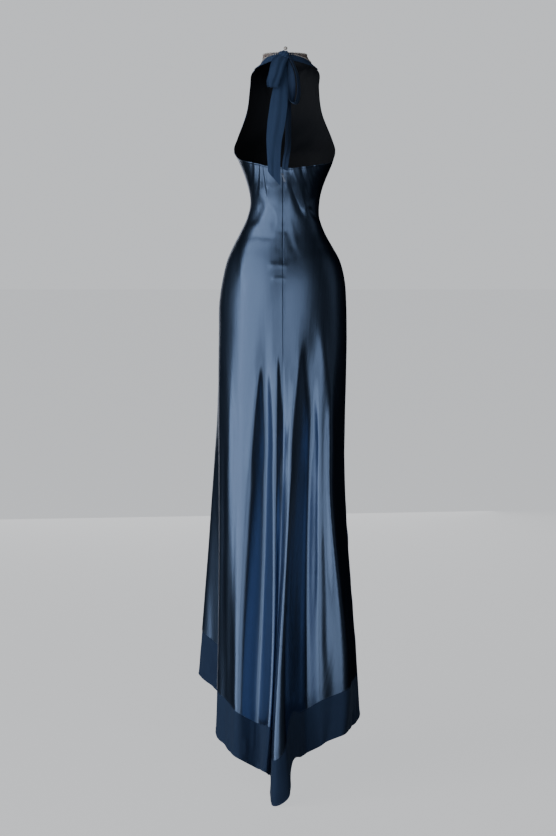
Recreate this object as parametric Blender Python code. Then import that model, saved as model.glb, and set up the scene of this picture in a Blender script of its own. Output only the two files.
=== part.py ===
"""Halter evening gown of bias satin with a chiffon hem band, a beaded collar and a bow at the nape.

The back of the gown faces +Y, the wearer's left is +X, up is +Z. The origin is the middle of the
neck loop. Metres. One smooth surface, body(angle, height), gives every piece that goes round the
wearer, and each piece is a wall between that surface and the same surface moved inwards."""

import math

import bmesh
import bpy
import mathutils
import numpy as np

WALL = 0.0015           # wall of the satin panels and the hem bands
THIN = 0.0012           # wall of the collar, straps and bow
SEAM_GAP = 0.0003       # clear space between two pieces at a seam
BAND = 0.115            # depth of the hem band
FOLD_TOP = -0.60        # height where the skirt's folds begin
FOLD_UP = -0.95         # heights of the upper and middle places in FOLDS
FOLD_MID = -1.24
UNDERARM = -0.2335      # height where front and back meet under the arm
NEAR_ANGLE, NEAR_HEIGHT = 0.04, 0.0002   # degrees and metres over which the slope is measured
CREASE_ANGLE = math.radians(50)          # edges sharper than this aren't shaded smooth

# height, half width to the wearer's left and right, depth to the back and front, squareness
SECTIONS = [
    (0.020, 0.046, 0.055, 0.056, 0.044, 2.0),
    (0.002, 0.048, 0.057, 0.061, 0.047, 2.0),
    (-0.006, 0.049, 0.060, 0.0635, 0.049, 2.0),
    (-0.019, 0.053, 0.069, 0.069, 0.053, 2.0),
    (-0.034, 0.071, 0.086, 0.080, 0.061, 2.0),
    (-0.075, 0.091, 0.102, 0.092, 0.074, 2.1),
    (-0.140, 0.108, 0.118, 0.098, 0.097, 2.2),
    (-0.200, 0.118, 0.127, 0.101, 0.123, 2.3),
    (-0.2335, 0.1213, 0.129, 0.101, 0.134, 2.3),
    (-0.262, 0.1085, 0.1225, 0.100, 0.134, 2.3),
    (-0.285, 0.0990, 0.113, 0.0975, 0.128, 2.3),
    (-0.307, 0.0912, 0.1035, 0.093, 0.117, 2.3),
    (-0.330, 0.0846, 0.0955, 0.0865, 0.105, 2.25),
    (-0.362, 0.0810, 0.0898, 0.0785, 0.094, 2.2),
    (-0.395, 0.0885, 0.0898, 0.0760, 0.091, 2.2),
    (-0.430, 0.1040, 0.1015, 0.0805, 0.094, 2.2),
    (-0.466, 0.1225, 0.1207, 0.0905, 0.102, 2.2),
    (-0.501, 0.1380, 0.1399, 0.1025, 0.111, 2.2),
    (-0.550, 0.1503, 0.1530, 0.1165, 0.119, 2.2),
    (-0.600, 0.1580, 0.1570, 0.1250, 0.124, 2.2),
    (-0.680, 0.1605, 0.1580, 0.1285, 0.127, 2.2),
    (-0.800, 0.1650, 0.1525, 0.1290, 0.130, 2.1),
    (-0.950, 0.1685, 0.1405, 0.1300, 0.133, 2.0),
    (-1.850, 0.1685, 0.1405, 0.1300, 0.140, 2.0),
]

# Each line of the skirt from hip to hem: name, angle at the hip (0 at the centre back, positive
# to the wearer's left), place at FOLD_UP, at FOLD_MID and at the hem, and height of the hem.
FOLDS = [
    ("right_side", -90.0, -0.154, 0.000, -0.166, 0.000, -0.195, 0.000, -1.652),
    ("right_hollow", -74.0, -0.143, 0.050, -0.153, 0.060, -0.172, 0.066, -1.664),
    ("right_ridge_outer", -60.0, -0.117, 0.106, -0.133, 0.138, -0.147, 0.152, -1.664),
    ("right_dip", -50.0, -0.101, 0.1115, -0.108, 0.1405, -0.109, 0.154, -1.679),
    ("right_ridge_inner", -42.0, -0.086, 0.1145, -0.084, 0.142, -0.092, 0.160, -1.689),
    ("deep_valley", -33.0, -0.067, 0.105, -0.0585, 0.127, -0.0585, 0.139, -1.712),
    ("train_side", -27.0, -0.055, 0.1115, -0.0455, 0.139, -0.047, 0.164, -1.714),
    ("train_flank", -15.0, -0.029, 0.1315, -0.0195, 0.169, -0.0205, 0.235, -1.722),
    ("train_right", -9.5, -0.0185, 0.135, -0.0075, 0.184, -0.0155, 0.262, -1.785),
    ("train_left", -4.5, -0.009, 0.131, 0.001, 0.177, 0.0275, 0.263, -1.8067),
    ("narrow_valley", 0.0, 0.000, 0.1270, 0.0060, 0.156, 0.0310, 0.186, -1.758),
    ("narrow_rise", 3.0, 0.0065, 0.1280, 0.0108, 0.156, 0.0355, 0.186, -1.754),
    ("middle_ridge", 7.5, 0.0165, 0.132, 0.0173, 0.168, 0.0405, 0.206, -1.744),
    ("middle_crest", 11.0, 0.0245, 0.1315, 0.0240, 0.168, 0.0475, 0.205, -1.740),
    ("middle_valley", 19.0, 0.041, 0.115, 0.0450, 0.136, 0.064, 0.170, -1.742),
    ("left_ridge", 31.0, 0.076, 0.126, 0.0885, 0.162, 0.101, 0.200, -1.714),
    ("left_shoulder", 52.0, 0.129, 0.099, 0.1325, 0.134, 0.137, 0.171, -1.693),
    ("left_turn", 58.0, 0.1365, 0.088, 0.1395, 0.121, 0.1435, 0.158, -1.686),
    ("left_edge", 77.0, 0.159, 0.050, 0.159, 0.082, 0.1675, 0.112, -1.661),
    ("left_hollow", 90.0, 0.159, 0.005, 0.150, 0.015, 0.150, 0.028, -1.608),
    ("front_left_ridge", 108.0, 0.168, -0.049, 0.190, -0.050, 0.216, -0.060, -1.556),
    ("front_left_hollow", 126.0, 0.130, -0.093, 0.142, -0.100, 0.160, -0.115, -1.556),
    ("front_left_fold", 144.0, 0.100, -0.135, 0.130, -0.170, 0.160, -0.205, -1.550),
    ("front_left_dip", 162.0, 0.048, -0.132, 0.062, -0.145, 0.082, -0.170, -1.550),
    ("front_middle", 180.0, 0.000, -0.151, 0.000, -0.190, 0.000, -0.240, -1.550),
    ("front_right_dip", 198.0, -0.048, -0.132, -0.062, -0.145, -0.082, -0.170, -1.552),
    ("front_right_fold", 216.0, -0.097, -0.132, -0.125, -0.165, -0.155, -0.200, -1.560),
    ("front_right_hollow", 240.0, -0.132, -0.088, -0.142, -0.098, -0.168, -0.112, -1.590),
]

# angle, height of the back's top edge
TOP_EDGE = [
    (-90.0, UNDERARM), (-78.0, -0.2560), (-50.0, -0.2690), (-28.0, -0.2755), (-8.0, -0.2785),
    (0.0, -0.2770), (23.0, -0.2735), (36.0, -0.2680), (56.0, -0.2605), (75.0, -0.2515),
    (84.0, -0.2440), (90.0, UNDERARM),
]
# height, angle from the front's middle to the armhole edge
ARMHOLE = [
    (-0.020, 86.0), (-0.034, 85.0), (-0.060, 72.0), (-0.100, 62.0), (-0.150, 60.0),
    (-0.190, 67.0), (-0.215, 77.0), (UNDERARM, 90.0),
]
# angle from the centre back, heights of the neck edge (collar above, strap or front below) and
# of the strap's lower edge
NECK_EDGE = [
    (0.0, -0.0030, -0.0170), (30.0, -0.0055, -0.0200), (55.0, -0.0110, -0.0255),
    (94.0, -0.0200, -0.0345), (135.0, -0.0300, -0.0345), (180.0, -0.0370, -0.0370),
]
COLLAR_TOP = 0.0015
COLLAR_END = 10.0       # angle where the collar stops beside the knot
FRONT_CORNER = 86.0     # angle from the front's middle to the corner that meets the strap
STRAP_COLUMNS = 15
BAND_ROWS = 4           # rows of points down the hem band, a strap or the collar
HALTER_ROWS = 8         # rows of the front above the underarm
WAIST_ROW = 5           # place in ROWS of the front's waist seam

# fractions of the way from the top edge to the hem band where the rows of the wall lie
ROWS = [0, .014, .03, .048, .068, .09, .112, .136, .162, .192, .226, .27, .325, .39, .46, .54,
        .63, .73, .84, .92, 1]
# parts of the way between two lines of FOLDS where the columns lie, closer at the folds' turns
BACK_STEPS = (.12, .34, .66, .88, 1)
FRONT_STEPS = (.22, .78, 1)
EVEN = (.5, 1)

# Ribbons, as rows of the middle line x, y, z and the half width as a vector x, y, z. Their
# middle stands out from their edges by this share of the half width.
RIBBON_CROWN = 0.10
RIBBON_COLUMNS = 5
LOOP_LEFT = [
    (0.0015, 0.0843, -0.0115, 0.0125, 0.0010, 0.0060),
    (0.0095, 0.0930, -0.0230, 0.0160, 0.0010, 0.0050),
    (0.0155, 0.1010, -0.0400, 0.0165, 0.0015, 0.0030),
    (0.0195, 0.1030, -0.0560, 0.0160, 0.0020, 0.0015),
    (0.0245, 0.1020, -0.0715, 0.0155, 0.0020, 0.0000),
    (0.0250, 0.0975, -0.0845, 0.0125, 0.0015, 0.0000),
    (0.0240, 0.0935, -0.0830, 0.0120, 0.0010, 0.0000),
    (0.0200, 0.0915, -0.0670, 0.0130, 0.0010, 0.0000),
    (0.0150, 0.0900, -0.0480, 0.0120, 0.0005, 0.0010),
    (0.0080, 0.0850, -0.0320, 0.0090, 0.0000, 0.0020),
    (0.0045, 0.0810, -0.0214, 0.0060, 0.0000, 0.0005),
]
LOOP_RIGHT = [
    (-0.0157, 0.0790, -0.0110, 0.0030, 0.0050, 0.0000),
    (-0.0235, 0.0890, -0.0260, 0.0031, 0.0075, 0.0000),
    (-0.0295, 0.0925, -0.0400, 0.0032, 0.0100, 0.0000),
    (-0.0345, 0.0950, -0.0560, 0.0034, 0.0125, 0.0000),
    (-0.0375, 0.0960, -0.0820, 0.0036, 0.0140, 0.0000),
    (-0.0365, 0.0965, -0.1080, 0.0040, 0.0140, 0.0000),
    (-0.0305, 0.0965, -0.1240, 0.0045, 0.0130, 0.0000),
    (-0.0225, 0.0965, -0.1200, 0.0060, 0.0120, 0.0000),
    (-0.0205, 0.0960, -0.1000, 0.0085, 0.0060, 0.0000),
    (-0.0203, 0.0950, -0.0740, 0.0090, 0.0000, 0.0000),
    (-0.0190, 0.0920, -0.0500, 0.0070, -0.0010, 0.0000),
    (-0.0130, 0.0810, -0.0195, 0.0026, 0.0020, 0.0000),
]
TAIL_LEFT = [
    (-0.0010, 0.0760, -0.0213, 0.0060, 0.0000, 0.0000),
    (0.0005, 0.0790, -0.0450, 0.0105, 0.0010, 0.0000),
    (0.0040, 0.0815, -0.0700, 0.0160, 0.0015, 0.0000),
    (0.0080, 0.0850, -0.1000, 0.0195, 0.0010, 0.0000),
    (0.0120, 0.0895, -0.1350, 0.0215, 0.0000, 0.0000),
    (0.0175, 0.0950, -0.1750, 0.0215, -0.0005, 0.0010),
    (0.0225, 0.1000, -0.2150, 0.0185, -0.0010, 0.0030),
    (0.0230, 0.1025, -0.2500, 0.0165, -0.0015, 0.0050),
    (0.0228, 0.0993, -0.2770, 0.0155, -0.0005, 0.0100),
    (0.0228, 0.0926, -0.3030, 0.0150, 0.0012, 0.0170),
]
TAIL_RIGHT = [
    (-0.0075, 0.0722, -0.0203, -0.0025, 0.0030, 0.0000),
    (-0.0120, 0.0700, -0.0500, -0.0005, 0.0070, 0.0000),
    (-0.0125, 0.0690, -0.0900, 0.0040, 0.0110, 0.0000),
    (-0.0125, 0.0745, -0.1400, 0.0060, 0.0120, 0.0000),
    (-0.0125, 0.0860, -0.1900, 0.0060, 0.0120, 0.0000),
    (-0.0105, 0.0965, -0.2350, 0.0070, 0.0060, 0.0000),
    (-0.0060, 0.1030, -0.2620, 0.0075, 0.0010, 0.0000),
    (-0.0040, 0.1025, -0.2830, 0.0070, -0.0010, 0.0030),
]

KNOT_AT = (-0.0015, 0.0756, -0.0080)
KNOT_HALF = (0.0140, 0.0088, 0.0130)
KNOT_POWER = 2.6        # squareness
ROUND_ACROSS, ROUND_UP = 16, 10          # faces round the knot and the bead, and up them
BEAD_AT = (-0.0057, 0.0756, 0.0097)
BEAD_R = 0.0047

ZIP_TOP, ZIP_END = -0.283, -0.600
ZIP_HALF_WIDTH = 0.011
TAPE_ROWS, TAPE_COLUMNS = 12, 5
TAPE = 0.0008
TAPE_DEPTH = 0.0014     # clear space between the satin and the tape, which is straighter

HINGE_AT = (0.00225, 0.1016, -0.29393)   # middle of the bar that carries the pull tab
SLIDER_LEAN = math.radians(20)           # turn of the slider on the cloth
BAR_R, BAR_HALF = 0.0006, 0.0019
CHEEK_X, CHEEK_HALF = 0.0018, 0.0004     # the two cheeks that hold the bar
CHEEK_HEIGHT, CHEEK_OUT, CHEEK_ROOT = 0.0022, 0.0009, 0.0008
PLATE_LOW, PLATE_HIGH = (-0.0026, -0.0048, -0.0067), (0.0026, -0.0028, 0.0023)
EYE_R, RIM_R, EYE_HALF = 0.0009, 0.0021, 0.0010
BAR_SIDES, EYE_SIDES = 12, 20
TAB_HALF = 0.0006
# outline of one side of the pull tab: distance below the bar, half width
TAB = [(0.0015, 0.0008), (0.0055, 0.0012), (0.0140, 0.0026), (0.0170, 0.0028), (0.0192, 0.0018)]
TAB_END = 0.0200

# look: colour, roughness, metallic
LOOKS = {
    "satin": ((0.090, 0.145, 0.260), 0.32, 0.0),
    "chiffon": ((0.045, 0.075, 0.140), 0.80, 0.0),
    "bead_cloth": ((0.420, 0.360, 0.320), 0.35, 0.3),
    "bead": ((0.750, 0.720, 0.660), 0.20, 0.0),
    "tape": ((0.050, 0.080, 0.150), 0.85, 0.0),
    "zip_metal": ((0.160, 0.210, 0.310), 0.30, 0.8),
}

for ob in list(bpy.data.objects):
    bpy.data.objects.remove(ob, do_unlink=True)


def curve(knots, values, at):
    """Smooth curve through values at rising knots; values may have more columns."""
    k, v, at = np.asarray(knots, float), np.asarray(values, float), np.asarray(at, float)
    h = np.diff(k)
    slope = np.diff(v, axis=0) / (h if v.ndim == 1 else h[:, None])
    m = np.empty_like(v)
    m[0], m[-1] = slope[0], slope[-1]
    w = h[:-1] / (h[:-1] + h[1:])
    w = w if v.ndim == 1 else w[:, None]
    m[1:-1] = slope[:-1] * (1 - w) + slope[1:] * w
    i = np.clip(np.searchsorted(k, at) - 1, 0, len(k) - 2)
    t, hh = (at - k[i]) / h[i], h[i]
    if v.ndim > 1:
        t, hh = t[..., None], hh[..., None]
    return ((2 * t**3 - 3 * t**2 + 1) * v[i] + (t**3 - 2 * t**2 + t) * hh * m[i]
            + (3 * t**2 - 2 * t**3) * v[i + 1] + (t**3 - t**2) * hh * m[i + 1])


SEC = np.array(SECTIONS)[::-1]
FOLD_ANGLE = np.array([f[1] for f in FOLDS])
FOLD_DATA = np.array([f[2:] for f in FOLDS])


def wrapped(a):
    """Angles brought into the range the fold table covers."""
    return (np.asarray(a, float) + 90.0) % 360.0 - 90.0


def figure(angle, z):
    """Smooth figure under the folds, without any of them."""
    s = curve(SEC[:, 0], SEC[:, 1:], z)
    a = np.radians(angle)
    sx, cy = np.sin(a), np.cos(a)
    half = np.where(sx > 0, s[..., 0], s[..., 1])
    deep = np.where(cy > 0, s[..., 2], s[..., 3])
    p = s[..., 4]
    r = (np.abs(sx / half)**p + np.abs(cy / deep)**p)**(-1 / p)
    return r * sx, r * cy


def round_folds(values, angle):
    """Values given at the lines of FOLDS (last but one axis) read off at other angles."""
    n = len(FOLD_ANGLE)
    k = np.concatenate([FOLD_ANGLE[-2:] - 360, FOLD_ANGLE, FOLD_ANGLE[:3] + 360])
    idx = np.arange(-2, n + 3) % n
    v = values[..., idx, :]
    h = np.diff(k)
    sl = (v[..., 1:, :] - v[..., :-1, :]) / h[:, None]
    w = (h[:-1] / (h[:-1] + h[1:]))[:, None]
    m = sl[..., :-1, :] * (1 - w) + sl[..., 1:, :] * w
    i = np.clip(np.searchsorted(k, angle, side="right") - 1, 1, len(k) - 3)
    take = lambda a, j: np.take_along_axis(a, j[..., None, None], axis=-2)[..., 0, :]
    p0, p1, m0, m1 = take(v, i), take(v, i + 1), take(m, i - 1), take(m, i)
    hh, t = h[i][..., None], ((angle - k[i]) / h[i])[..., None]
    return ((2 * t**3 - 3 * t**2 + 1) * p0 + (t**3 - 2 * t**2 + t) * hh * m0
            + (3 * t**2 - 2 * t**3) * p1 + (t**3 - t**2) * hh * m1)


HEM_Z = FOLD_DATA[:, 6]
DROP = FOLD_TOP - HEM_Z
# how far each line is moved off the figure at its three heights, and how far down those are
MOVES = [FOLD_DATA[:, i:i + 2] - np.stack(figure(FOLD_ANGLE, z + 0 * HEM_Z), -1)
         for i, z in ((0, FOLD_UP), (2, FOLD_MID), (4, HEM_Z))]
FALL_UP, FALL_MID = (((FOLD_TOP - z) / DROP)[:, None] for z in (FOLD_UP, FOLD_MID))


def hem_height(angle):
    angle = wrapped(angle)
    table = np.broadcast_to(HEM_Z[:, None], angle.shape + (len(FOLDS), 1))
    return round_folds(table, angle)[..., 0]


def body(angle, z):
    """Outer face of the gown at an angle and a height."""
    angle, z = np.broadcast_arrays(np.asarray(angle, float), np.asarray(z, float))
    angle = wrapped(angle)
    x, y = figure(angle, z)
    t = np.maximum(0, (FOLD_TOP - z)[..., None] / DROP)[..., None]
    up, mid, hem = MOVES[0] / FALL_UP**2, MOVES[1] / FALL_MID**2, MOVES[2]
    first, last = (mid - up) / (FALL_MID - FALL_UP), (hem - mid) / (1 - FALL_MID)
    bend = (last - first) / (1 - FALL_UP)
    moved = round_folds(t * t * (up + (t - FALL_UP) * (first + bend * (t - FALL_MID))), angle)
    return np.stack([x + moved[..., 0], y + moved[..., 1], z], -1)


def outward(angle, z):
    """Unit normal of the outer face."""
    u = body(angle + NEAR_ANGLE, z) - body(angle - NEAR_ANGLE, z)
    v = body(angle, z + NEAR_HEIGHT) - body(angle, z - NEAR_HEIGHT)
    n = np.cross(v, u)
    return n / np.linalg.norm(n, axis=-1, keepdims=True)


def add(name, points, faces):
    """A mesh object whose faces look outwards."""
    p = np.asarray(points, float)
    volume = sum(np.dot(p[f[0]], np.cross(p[f[i]], p[f[i + 1]])) for f in faces
                 for i in range(1, len(f) - 1))
    if volume < 0:
        faces = [tuple(reversed(f)) for f in faces]
    me = bpy.data.meshes.new(name)
    me.from_pydata([tuple(q) for q in p], [], faces)
    me.update()
    ob = bpy.data.objects.new(name, me)
    bpy.context.scene.collection.objects.link(ob)
    return ob


def wall(name, outer, inner):
    """A closed wall between two grids of points with the same rows and columns."""
    rows, cols = outer.shape[:2]
    n = rows * cols
    at = lambda side, r, c: side * n + r * cols + c
    faces = []
    # Both faces of the wall are split along the same diagonals, so its thickness stays even.
    for r in range(rows - 1):
        for c in range(cols - 1):
            a, b, d, e = (r, c), (r, c + 1), (r + 1, c + 1), (r + 1, c)
            for tri in ((a, b, d), (a, d, e)):
                faces.append(tuple(at(0, *p) for p in tri))
                faces.append(tuple(at(1, *p) for p in reversed(tri)))
    # Both sides of a seam split their edge along the same diagonals, so the gap stays even too.
    for c in range(cols - 1):
        for r, way in ((0, 1), (rows - 1, -1)):
            a, b, p, q = at(0, r, c), at(0, r, c + 1), at(1, r, c), at(1, r, c + 1)
            faces += [(b, a, q)[::way], (a, p, q)[::way]]
    for r in range(rows - 1):
        for c, way in ((0, -1), (cols - 1, 1)):
            a, b, p, q = at(0, r, c), at(0, r + 1, c), at(1, r, c), at(1, r + 1, c)
            faces += [(b, a, q)[::way], (a, p, q)[::way]]
    return add(name, np.concatenate([outer.reshape(-1, 3), inner.reshape(-1, 3)]), faces)


def drawn_in(grid):
    """The grid with its edge rows and columns moved in by half the seam's gap."""
    g = grid.copy()
    for axis in (0, 1):
        g = np.moveaxis(g, axis, 0)
        for edge, near in ((0, 1), (-1, -2)):
            step = g[near] - g[edge]
            g[edge] += step / np.linalg.norm(step, axis=-1, keepdims=True) * SEAM_GAP / 2
        g = np.moveaxis(g, 0, axis)
    return g


def panel(name, angle, z, thick, depth=0.0):
    """A piece of the gown's surface, given the angle and height of each point of its grid."""
    face, n = body(angle, z), outward(angle, z)
    outer = drawn_in(face - n * depth)
    return wall(name, outer, outer - n * thick)


def spread(knots, steps):
    """The knots with more places between each two."""
    out = [knots[0]]
    for a, b in zip(knots, knots[1:]):
        out += [a + (b - a) * t for t in steps]
    return np.array(out)


def angles(start, end):
    """Columns of a piece from one angle to another."""
    inside = [a + 360 * k for k in (0, 1) for a in FOLD_ANGLE if start < a + 360 * k < end]
    steps = FRONT_STEPS if start >= 90 else BACK_STEPS
    return spread([start] + sorted(inside) + [end], steps)


def top_edge(angle):
    k, v = np.array(TOP_EDGE).T
    return curve(k, v, angle)


def neck_edge(angle, column):
    table = np.array(NECK_EDGE)
    return curve(table[:, 0], table[:, column], np.abs(wrapped(angle + 90) - 90))


def band_line(angle):
    return hem_height(angle) + BAND


# The two backs and the front below the underarm share their rows, so they meet along the seams.
rows = np.array(ROWS)[:, None]
for name, start, end in (("back_left", 0, 90), ("back_right", -90, 0)):
    a = angles(start, end)
    a = np.broadcast_to(a[None], (len(ROWS), len(a)))
    z = top_edge(a) * (1 - rows) + band_line(a) * rows
    panel(name, a, z, WALL)

# The front's bodice rises above the underarm into the halter, so its rows there grow narrower.
a0 = angles(90, 270)
halter = (np.arange(HALTER_ROWS) / HALTER_ROWS)[:, None]
side = neck_edge(np.array([180 - FRONT_CORNER]), 1)[0] * (1 - halter) + UNDERARM * halter
k, v = np.array(ARMHOLE)[::-1].T
a_up = 180 + (a0[None] - 180) * curve(k, v, side) / 90
a_neck = 180 + (a0[None] - 180) * FRONT_CORNER / 90
z_up = neck_edge(np.broadcast_to(a_neck, a_up.shape), 1) * (1 - halter) + UNDERARM * halter
a_low = np.broadcast_to(a0[None], (len(ROWS), len(a0)))
z_low = UNDERARM * (1 - rows) + band_line(a_low) * rows
waist = WAIST_ROW + 1
panel("front_bodice", np.vstack([a_up, a_low[:waist]]), np.vstack([z_up, z_low[:waist]]), WALL)

# Below the waist seam the front is two panels that meet at the centre front.
centre = int(np.argmin(np.abs(a0 - 180)))
for name, part in (("front_skirt_left", slice(None, centre + 1)),
                   ("front_skirt_right", slice(centre, None))):
    panel(name, a_low[WAIST_ROW:, part], z_low[WAIST_ROW:, part], WALL)

down = np.linspace(0, 1, BAND_ROWS)[:, None]

# The chiffon band hangs from the satin's lower edge.
for name, start, end in (("hem_back_left", 0, 90), ("hem_back_right", -90, 0),
                         ("hem_front", 90, 270)):
    a = angles(start, end)
    a = np.broadcast_to(a[None], (BAND_ROWS, len(a)))
    panel(name, a, band_line(a) - BAND * down, WALL)

# Straps run from the front's corners to the nape, and meet under the knot.
strap_a = np.linspace(0.0, 180 - FRONT_CORNER, STRAP_COLUMNS)
for name, sign in (("strap_left", 1), ("strap_right", -1)):
    a = np.broadcast_to(strap_a[None], (BAND_ROWS, STRAP_COLUMNS))
    z = neck_edge(a, 1) * (1 - down) + neck_edge(a, 2) * down
    panel(name, a * sign, z, THIN)

# The collar stands on the straps and the front's neck edge, and has their columns.
near = np.concatenate([[COLLAR_END], strap_a[strap_a > COLLAR_END + 1]])
a = np.concatenate([near, a_neck[0, 1:-1], 360 - near[::-1]])
a = np.broadcast_to(a[None], (BAND_ROWS, len(a)))
panel("collar", a, COLLAR_TOP * (1 - down) + neck_edge(a, 1) * down, THIN)


def ribbon(name, table):
    """A strip of cloth along a path, a little curved across its width."""
    t = np.array(table)
    length = np.concatenate([[0], np.cumsum(np.linalg.norm(np.diff(t[:, :3], axis=0), axis=1))])
    fine = curve(length, t, spread(list(length), EVEN))
    c, h = fine[:, None, :3], fine[:, None, 3:]
    along = np.gradient(fine[:, :3], axis=0)[:, None]
    n = np.cross(np.broadcast_to(h, c.shape), along)
    n /= np.linalg.norm(n, axis=-1, keepdims=True)
    s = np.linspace(-1, 1, RIBBON_COLUMNS)[None, :, None]
    mid = c + h * s + n * (1 - s * s) * RIBBON_CROWN * np.linalg.norm(h, axis=-1, keepdims=True)
    du, dv = np.gradient(mid, axis=1), np.gradient(mid, axis=0)
    m = np.cross(du, dv)
    m /= np.linalg.norm(m, axis=-1, keepdims=True)
    return wall(name, mid + m * THIN / 2, mid - m * THIN / 2)


ribbon("loop_left", LOOP_LEFT)
ribbon("loop_right", LOOP_RIGHT)
ribbon("tail_left", TAIL_LEFT)
ribbon("tail_right", TAIL_RIGHT)


def superellipsoid(name, at, half, power, across=ROUND_ACROSS, up=ROUND_UP):
    """A rounded block; power 2 gives an ellipsoid."""
    bent = lambda v: math.copysign(abs(v)**(2 / power), v)
    points, faces = [], []
    for i in range(1, up):
        f = math.pi * i / up - math.pi / 2
        for j in range(across):
            g = 2 * math.pi * j / across
            unit = (bent(math.cos(f)) * bent(math.cos(g)), bent(math.cos(f)) * bent(math.sin(g)),
                    bent(math.sin(f)))
            points.append([c + h * u for c, h, u in zip(at, half, unit)])
    low, high = len(points), len(points) + 1
    points += [(at[0], at[1], at[2] - half[2]), (at[0], at[1], at[2] + half[2])]
    for j in range(across):
        k = (j + 1) % across
        faces += [(low, k, j), (high, (up - 2) * across + j, (up - 2) * across + k)]
        faces += [(i * across + j, i * across + k, (i + 1) * across + k, (i + 1) * across + j)
                  for i in range(up - 2)]
    return add(name, points, faces)


superellipsoid("knot", KNOT_AT, KNOT_HALF, KNOT_POWER)
superellipsoid("knot_bead", BEAD_AT, (BEAD_R,) * 3, 2.0)

# The zip's tape lies against the inside of the centre back seam.
z = np.linspace(ZIP_TOP, ZIP_END, TAPE_ROWS)[:, None]
deep = curve(SEC[:, 0], SEC[:, 3], z)
a = np.degrees(np.arcsin(np.linspace(-1, 1, TAPE_COLUMNS)[None] * ZIP_HALF_WIDTH / deep))
panel("zip_tape", a, np.broadcast_to(z, a.shape), TAPE, WALL + TAPE_DEPTH)


def block(name, low, high):
    """A box between two corners."""
    bm = bmesh.new()
    size = [h - l for l, h in zip(low, high)]
    middle = [(h + l) / 2 for l, h in zip(low, high)]
    place = mathutils.Matrix.Translation(middle) @ mathutils.Matrix.Diagonal((*size, 1))
    bmesh.ops.create_cube(bm, size=1, matrix=place)
    return from_bmesh(name, bm)


def rod(name, radius, half, sides=BAR_SIDES):
    """A cylinder along X through the origin."""
    bm = bmesh.new()
    bmesh.ops.create_cone(bm, cap_ends=True, segments=sides, radius1=radius, radius2=radius,
                          depth=2 * half, matrix=mathutils.Matrix.Rotation(math.pi / 2, 4, "Y"))
    return from_bmesh(name, bm)


def from_bmesh(name, bm):
    me = bpy.data.meshes.new(name)
    bm.to_mesh(me)
    bm.free()
    ob = bpy.data.objects.new(name, me)
    bpy.context.scene.collection.objects.link(ob)
    return ob


def combine(first, others, operation="UNION"):
    """The first object with the others added to it or cut from it."""
    for other in others:
        mod = first.modifiers.new("combine", "BOOLEAN")
        mod.operation, mod.solver, mod.object = operation, "EXACT", other
        deps = bpy.context.evaluated_depsgraph_get()
        mesh = bpy.data.meshes.new_from_object(first.evaluated_get(deps))
        first.modifiers.clear()
        first.data = mesh
        bpy.data.objects.remove(other, do_unlink=True)
    return first


# The slider is a plate on the seam with two cheeks and a bar. Its own origin is the bar's middle.
slider = block("zip_slider", PLATE_LOW, PLATE_HIGH)
cheeks = [block("cheek", (x - CHEEK_HALF, PLATE_HIGH[1] - CHEEK_ROOT, -CHEEK_HEIGHT / 2),
                (x + CHEEK_HALF, CHEEK_OUT, CHEEK_HEIGHT / 2)) for x in (-CHEEK_X, CHEEK_X)]
combine(slider, cheeks + [rod("bar", BAR_R, BAR_HALF)])
slider.location = HINGE_AT
slider.rotation_euler = (0, SLIDER_LEAN, 0)

# The pull tab is a flat drop below an eye that turns on the bar.
pull = rod("zip_pull", RIM_R, EYE_HALF, EYE_SIDES)
outline = ([(-w, -d) for d, w in TAB] + [(0.0, -TAB_END)] + [(w, -d) for d, w in reversed(TAB)])
n = len(outline)
points = [(x, y, z) for y in (-TAB_HALF, TAB_HALF) for x, z in outline]
faces = [tuple(range(n)), tuple(range(2 * n - 1, n - 1, -1))]
faces += [(i, n + i, n + (i + 1) % n, (i + 1) % n) for i in range(n)]
combine(pull, [add("tab", points, faces)])
combine(pull, [rod("eye", EYE_R, 2 * EYE_HALF, EYE_SIDES)], "DIFFERENCE")
pull.parent = slider

for name, look in (("back", "satin"), ("front", "satin"), ("hem", "chiffon"), ("strap", "chiffon"),
                   ("knot", "chiffon"), ("loop", "chiffon"), ("tail", "chiffon"),
                   ("collar", "bead_cloth"), ("knot_bead", "bead"), ("zip_tape", "tape"),
                   ("zip_slider", "zip_metal"), ("zip_pull", "zip_metal")):
    colour, roughness, metallic = LOOKS[look]
    material = bpy.data.materials.new(look)
    material.use_nodes = True
    shader = material.node_tree.nodes["Principled BSDF"]
    shader.inputs["Base Color"].default_value = (*colour, 1)
    shader.inputs["Roughness"].default_value = roughness
    shader.inputs["Metallic"].default_value = metallic
    for ob in bpy.data.objects:
        if ob.name.startswith(name):
            ob.data.materials.clear()
            ob.data.materials.append(material)
            ob.data.shade_smooth()
            ob.data.set_sharp_from_angle(angle=CREASE_ANGLE)
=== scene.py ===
"""Halter evening gown: bias satin with a chiffon hem band, chiffon straps and bow, a beaded collar.

Metres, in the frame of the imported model. The back of the gown faces +Y, the wearer's left is +X,
up is +Z, and the origin is the middle of the neck loop."""

import math

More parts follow.
